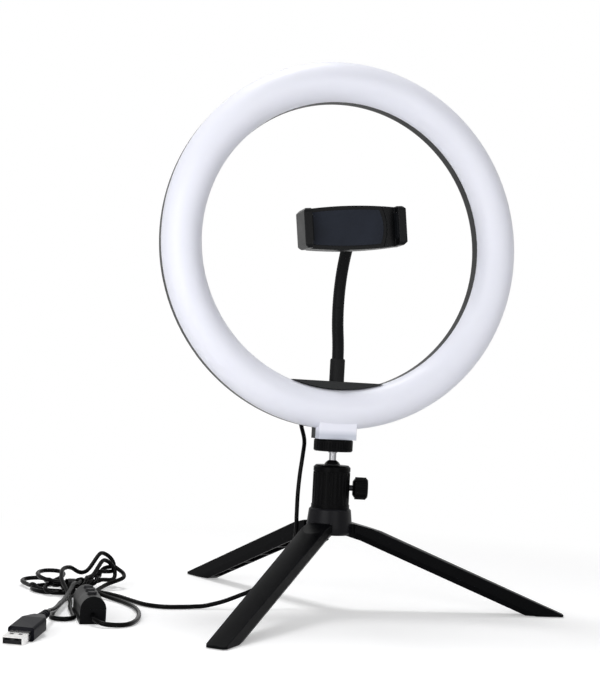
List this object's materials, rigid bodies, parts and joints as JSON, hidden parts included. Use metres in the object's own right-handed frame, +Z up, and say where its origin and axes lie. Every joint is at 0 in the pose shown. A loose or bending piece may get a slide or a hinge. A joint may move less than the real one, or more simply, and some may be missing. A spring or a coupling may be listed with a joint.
{
  "type": "ring light",
  "caption": "Desktop ring light: white lit ring on a ball head and folding tripod, with a sprung phone clamp on a bendable arm and a USB lead with control box.",
  "frame": {"origin": "on the floor under the middle of the object's outline, its lead left out", "axes": "+Z up; the ring faces -Y; +X is to the right of a viewer who faces the ring"},
  "size_m": [0.3936, 0.2987, 0.3852],
  "materials": {
    "diffuser_white": "satin translucent white",
    "shell_black": "fine matt black",
    "board_white": "solder mask",
    "chip_yellow": "phosphor",
    "screw_steel": "blackened",
    "nut_brass": "turned",
    "gland_rubber": "matt",
    "disc_black": "satin",
    "stud_steel": "zinc plated",
    "ball_black": "polished",
    "head_black": "satin",
    "base_metal": "turned",
    "cup_nylon": "natural nylon",
    "knob_black": "satin",
    "hub_black": "satin",
    "leg_black": "satin with a fine texture",
    "foot_rubber": "matt",
    "sleeve_black": "matt",
    "arm_black": "matt sheath",
    "clamp_black": "fine matt black",
    "pad_dark": "matt",
    "spring_steel": "drawn wire",
    "cord_black": "satin sheath",
    "tie_black": "matt",
    "box_black": "satin",
    "board_green": "solder mask",
    "button_grey": "matt",
    "plug_black": "satin",
    "plug_steel": "nickel plated",
    "plug_white": "moulded"
  },
  "bodies": {
    "stand": {"hub": "hub_black", "hub_stud": "stud_steel", "hinge_pins": "stud_steel", "cord_drop": "cord_black", "cord_lead": "cord_black", "cord_hank": "cord_black", "cord_tie": "tie_black", "cord_link": "cord_black", "cord_loop": "cord_black", "cord_tail": "cord_black", "box_base": "box_black", "box_cover": "box_black", "box_board": "board_green", "usb_body": "plug_black", "usb_shell": "plug_steel", "usb_tongue": "plug_white"},
    "leg_right": {"leg_right": "leg_black", "foot_right": "foot_rubber"},
    "leg_rear": {"leg_rear": "leg_black", "foot_rear": "foot_rubber"},
    "leg_front": {"leg_front": "leg_black", "foot_front": "foot_rubber"},
    "head": {"head_housing": "head_black", "head_base": "base_metal", "brake_cup": "cup_nylon"},
    "knob": {"lock_knob": "knob_black", "knob_screw": "stud_steel"},
    "ball": {"head_ball": "ball_black", "head_stud": "stud_steel"},
    "disc": {"lock_disc": "disc_black"},
    "ring": {"diffuser": "diffuser_white", "rear_shell": "shell_black", "led_board": "board_white", "led_chips": "chip_yellow", "shell_screws": "screw_steel", "mount_nut": "nut_brass", "cord_gland": "gland_rubber", "arm_ferrule": "sleeve_black"},
    "gooseneck": {"gooseneck": "arm_black"},
    "arm_top": {"arm_elbow": "sleeve_black", "arm_ball": "stud_steel"},
    "clamp_nut": {"clamp_nut": "clamp_black"},
    "clamp": {"clamp_back": "clamp_black", "clamp_body": "clamp_black", "clamp_pad": "pad_dark", "fixed_jaw_pad": "pad_dark", "clamp_screws": "screw_steel", "jaw_springs": "spring_steel"},
    "jaw": {"sliding_jaw": "clamp_black", "sliding_jaw_pad": "pad_dark"},
    "button_power": {"button_power": "button_grey"},
    "button_up": {"button_up": "button_grey"},
    "button_down": {"button_down": "button_grey"}
  },
  "joints": [
    {"name": "leg_right_fold", "type": "hinge", "parent": "stand", "child": "leg_right", "pos_m": [-0.011, -0.01319, 0.0565], "axis": [0.1392, 0.9903, 0], "range_deg": [0, 68]},
    {"name": "leg_rear_fold", "type": "hinge", "parent": "stand", "child": "leg_rear", "pos_m": [-0.02329, -0.00359, 0.0565], "axis": [-0.9272, -0.3746, 0], "range_deg": [0, 68]},
    {"name": "leg_front_fold", "type": "hinge", "parent": "stand", "child": "leg_front", "pos_m": [-0.02546, -0.01903, 0.0565], "axis": [0.788, -0.6157, 0], "range_deg": [0, 68]},
    {"name": "head_swivel", "type": "hinge", "parent": "stand", "child": "head", "pos_m": [-0.01991, -0.01193, 0.0706], "axis": [0, 0, 1], "range_deg": [-90, 90], "deforming": ["cord_drop"]},
    {"name": "knob_turn", "type": "hinge", "parent": "head", "child": "knob", "pos_m": [-0.01991, -0.01193, 0.085], "axis": [0.9659, -0.2588, 0], "continuous": true},
    {"name": "head_tilt", "type": "hinge", "parent": "head", "child": "ball", "pos_m": [-0.01991, -0.01193, 0.0981], "axis": [1, 0, 0], "range_deg": [-60, 40], "deforming": ["cord_drop"]},
    {"name": "disc_spin", "type": "hinge", "parent": "ball", "child": "disc", "pos_m": [-0.01991, -0.01193, 0.114], "axis": [0, 0, 1], "continuous": true},
    {"name": "ring_swivel", "type": "hinge", "parent": "ball", "child": "ring", "pos_m": [-0.01991, -0.01193, 0.119], "axis": [0, 0, 1], "range_deg": [-90, 90], "deforming": ["cord_drop"]},
    {"name": "gooseneck_bend", "type": "hinge", "parent": "ring", "child": "gooseneck", "pos_m": [-0.01991, -0.00873, 0.194], "axis": [1, 0, 0], "range_deg": [-15, 60], "deforming": ["gooseneck"]},
    {"name": "gooseneck_side", "type": "hinge", "parent": "gooseneck", "child": "arm_top", "pos_m": [-0.01991, -0.00953, 0.231], "axis": [0, 1, 0], "range_deg": [-25, 25], "deforming": ["gooseneck"]},
    {"name": "clamp_tilt", "type": "hinge", "parent": "arm_top", "child": "clamp_nut", "pos_m": [-0.01991, -0.04211, 0.26243], "axis": [1, 0, 0], "range_deg": [-15, 15]},
    {"name": "clamp_spin", "type": "hinge", "parent": "clamp_nut", "child": "clamp", "pos_m": [-0.01991, -0.04211, 0.26243], "axis": [0, 1, 0], "range_deg": [-90, 90]},
    {"name": "jaw_slide", "type": "slide", "parent": "clamp", "child": "jaw", "axis": [0.9936, 0, 0.1132], "range_m": [0, 0.024], "stiffness_N_per_m": 150, "springref_m": -0.02, "deforming": ["jaw_springs"]},
    {"name": "button_power_press", "type": "slide", "parent": "stand", "child": "button_power", "axis": [0, 0, -1], "range_m": [0, 0.0006], "stiffness_N_per_m": 400, "springref_m": -0.001},
    {"name": "button_up_press", "type": "slide", "parent": "stand", "child": "button_up", "axis": [0, 0, -1], "range_m": [0, 0.0006], "stiffness_N_per_m": 400, "springref_m": -0.001},
    {"name": "button_down_press", "type": "slide", "parent": "stand", "child": "button_down", "axis": [0, 0, -1], "range_m": [0, 0.0006], "stiffness_N_per_m": 400, "springref_m": -0.001}
  ]
}
